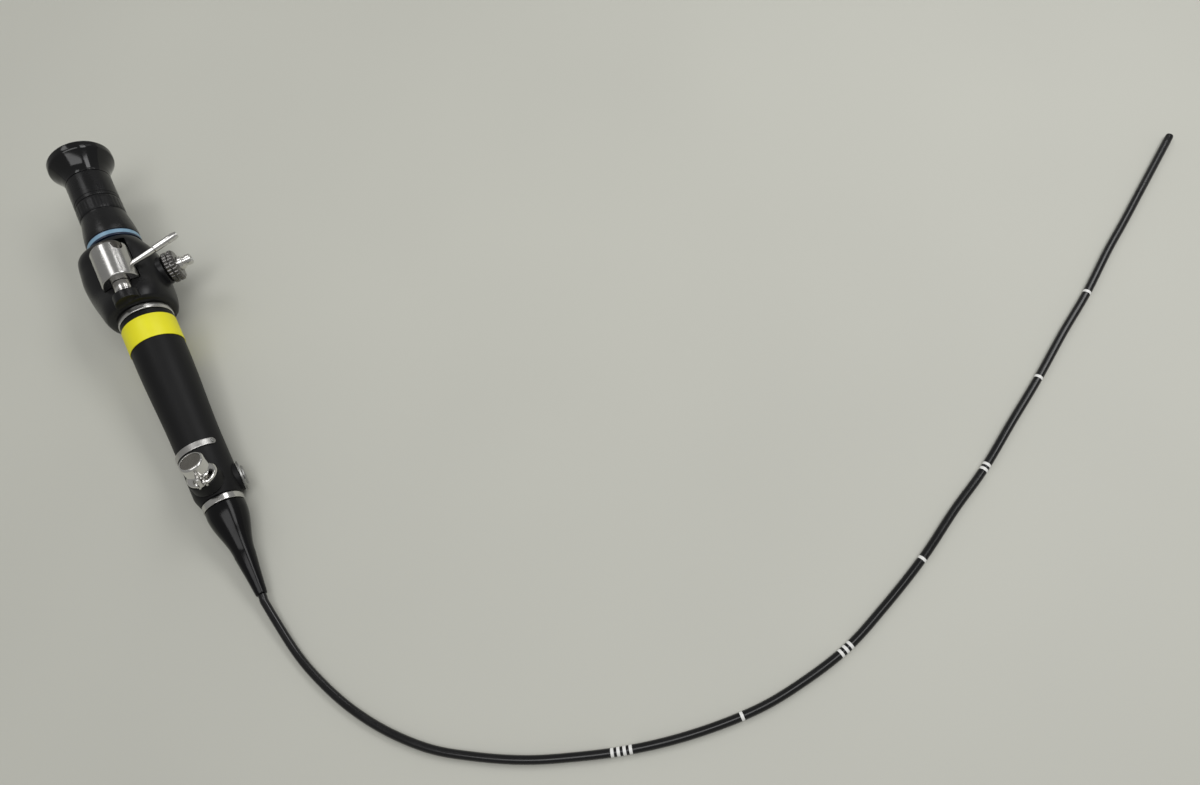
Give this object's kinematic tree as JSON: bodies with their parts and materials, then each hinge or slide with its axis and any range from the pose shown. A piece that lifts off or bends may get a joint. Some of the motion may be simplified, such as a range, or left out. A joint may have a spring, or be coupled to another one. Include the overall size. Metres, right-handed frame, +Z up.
{
  "type": "flexible endoscope",
  "caption": "Flexible fibre-optic intubation endoscope: eyepiece, control housing with suction valve, light post and thumb lever, tapered grip with ports, and a slim tube with a bending tip.",
  "frame": {"origin": "on the table, below the middle of the handle's bounding box (the free insertion tube is left out)", "axes": "+Z up from the table, +Y along the long side of the handle's bounding box, towards the eyepiece, +X to the right, towards the insertion tube"},
  "size_m": [0.5617, 0.2991, 0.0498],
  "materials": {
    "black_plastic": "satin moulded",
    "gloss_black_plastic": "glossy",
    "black_rubber": "matte",
    "tube_polymer": "smooth polyurethane, glossy",
    "steel": "polished",
    "dull_steel": "satin",
    "brass": "plain",
    "glass": "clear",
    "light_blue_plastic": "satin",
    "yellow_film": "satin",
    "fibre": "bundled fibres"
  },
  "bodies": {
    "handle": {"eyecup": "black_plastic", "eyepiece_barrel": "black_plastic", "dioptre_collar": "black_plastic", "colour_ring": "light_blue_plastic", "ocular_tube": "dull_steel", "eyepiece_window": "glass", "ocular_lens": "glass", "image_guide_ferrule": "brass", "control_housing": "black_plastic", "suction_cylinder": "steel", "suction_nozzle": "steel", "suction_stem": "steel", "piston_spring": "dull_steel", "light_post": "steel", "light_post_window": "glass", "lever_axle": "steel", "grip_sleeve": "black_plastic", "clamp_ring": "steel", "label_band": "yellow_film", "chassis_tube": "dull_steel", "tube_collet": "brass", "bottom_ring": "steel", "boot": "gloss_black_plastic", "tube_root": "tube_polymer", "channel_port": "steel", "lid_hinge_pin": "steel", "retaining_strap": "steel", "strap_screw": "steel", "vent_flange": "steel", "image_bundle": "fibre", "light_bundle": "fibre", "working_channel": "black_rubber", "suction_line": "black_rubber", "pull_wire_right": "dull_steel", "pull_wire_left": "dull_steel", "insertion_tube": "tube_polymer", "bend_base_ring": "dull_steel", "bending_cover": "black_rubber", "bending_core": "fibre"},
    "lever": {"deflection_lever": "dull_steel", "pull_wheel_right": "brass", "pull_wheel_left": "brass", "thumb_pad": "black_rubber"},
    "piston": {"suction_piston": "gloss_black_plastic"},
    "dioptre": {"dioptre_ring": "black_plastic"},
    "light_adapter": {"light_adapter_ring": "steel"},
    "lid": {"port_lid": "steel", "port_seal": "black_rubber"},
    "vent": {"vent_cap": "steel"},
    "link_1": {"bend_link_1": "dull_steel"},
    "link_2": {"bend_link_2": "dull_steel"},
    "link_3": {"bend_link_3": "dull_steel"},
    "link_4": {"bend_link_4": "dull_steel"},
    "link_5": {"bend_link_5": "dull_steel"},
    "link_6": {"bend_link_6": "dull_steel"},
    "link_7": {"bend_link_7": "dull_steel"},
    "tip": {"distal_tip": "black_plastic", "objective_lens": "glass", "light_lens_1": "glass", "light_lens_2": "glass"}
  },
  "joints": [
    {"name": "lever_pivot", "type": "hinge", "parent": "handle", "child": "lever", "pos_m": [-0.0171, 0.0382, 0.01461], "axis": [0.8772, 0.4773, -0.052], "range_deg": [-32, 32], "deforming": ["bending_cover", "bending_core"]},
    {"name": "piston_slide", "type": "slide", "parent": "handle", "child": "piston", "axis": [0.4694, -0.8754, -0.116], "range_m": [0, 0.003], "stiffness_N_per_m": 300, "deforming": ["piston_spring"]},
    {"name": "dioptre_turn", "type": "hinge", "parent": "handle", "child": "dioptre", "pos_m": [-0.03526, 0.0732, 0.02957], "axis": [-0.4694, 0.8754, 0.116], "range_deg": [-60, 60]},
    {"name": "light_adapter_turn", "type": "hinge", "parent": "handle", "child": "light_adapter", "pos_m": [0.0009, 0.0455, 0.02374], "axis": [0.8772, 0.4773, -0.052], "continuous": true},
    {"name": "lid_hinge", "type": "hinge", "parent": "handle", "child": "lid", "pos_m": [0.04299, -0.07042, 0.03154], "axis": [0.8772, 0.4773, -0.052], "range_deg": [0, 110]},
    {"name": "vent_turn", "type": "hinge", "parent": "handle", "child": "vent", "pos_m": [0.03866, -0.06467, 0.01131], "axis": [0.8321, 0.4824, -0.2738], "range_deg": [0, 90]},
    {"name": "bend_1", "type": "hinge", "parent": "handle", "child": "link_1", "pos_m": [0.47373, 0.06982, 0.00185], "axis": [0, 0, 1], "range_deg": [-18, 18]},
    {"name": "bend_2", "type": "hinge", "parent": "link_1", "child": "link_2", "pos_m": [0.47593, 0.07316, 0.00185], "axis": [0, 0, 1], "range_deg": [-18, 18]},
    {"name": "bend_3", "type": "hinge", "parent": "link_2", "child": "link_3", "pos_m": [0.47813, 0.0765, 0.00185], "axis": [0, 0, 1], "range_deg": [-18, 18]},
    {"name": "bend_4", "type": "hinge", "parent": "link_3", "child": "link_4", "pos_m": [0.48034, 0.07984, 0.00185], "axis": [0, 0, 1], "range_deg": [-18, 18]},
    {"name": "bend_5", "type": "hinge", "parent": "link_4", "child": "link_5", "pos_m": [0.48254, 0.08318, 0.00185], "axis": [0, 0, 1], "range_deg": [-18, 18]},
    {"name": "bend_6", "type": "hinge", "parent": "link_5", "child": "link_6", "pos_m": [0.48474, 0.08651, 0.00185], "axis": [0, 0, 1], "range_deg": [-18, 18]},
    {"name": "bend_7", "type": "hinge", "parent": "link_6", "child": "link_7", "pos_m": [0.48695, 0.08985, 0.00185], "axis": [0, 0, 1], "range_deg": [-18, 18]},
    {"name": "bend_8", "type": "hinge", "parent": "link_7", "child": "tip", "pos_m": [0.48915, 0.09319, 0.00185], "axis": [0, 0, 1], "range_deg": [-18, 18]}
  ],
  "couplings": [
    {"joint": "bend_1", "follows": "lever_pivot", "ratio": 0.54688},
    {"joint": "bend_2", "follows": "lever_pivot", "ratio": 0.54688},
    {"joint": "bend_3", "follows": "lever_pivot", "ratio": 0.54688},
    {"joint": "bend_4", "follows": "lever_pivot", "ratio": 0.54688},
    {"joint": "bend_5", "follows": "lever_pivot", "ratio": 0.54688},
    {"joint": "bend_6", "follows": "lever_pivot", "ratio": 0.54688},
    {"joint": "bend_7", "follows": "lever_pivot", "ratio": 0.54688},
    {"joint": "bend_8", "follows": "lever_pivot", "ratio": 0.54688}
  ]
}
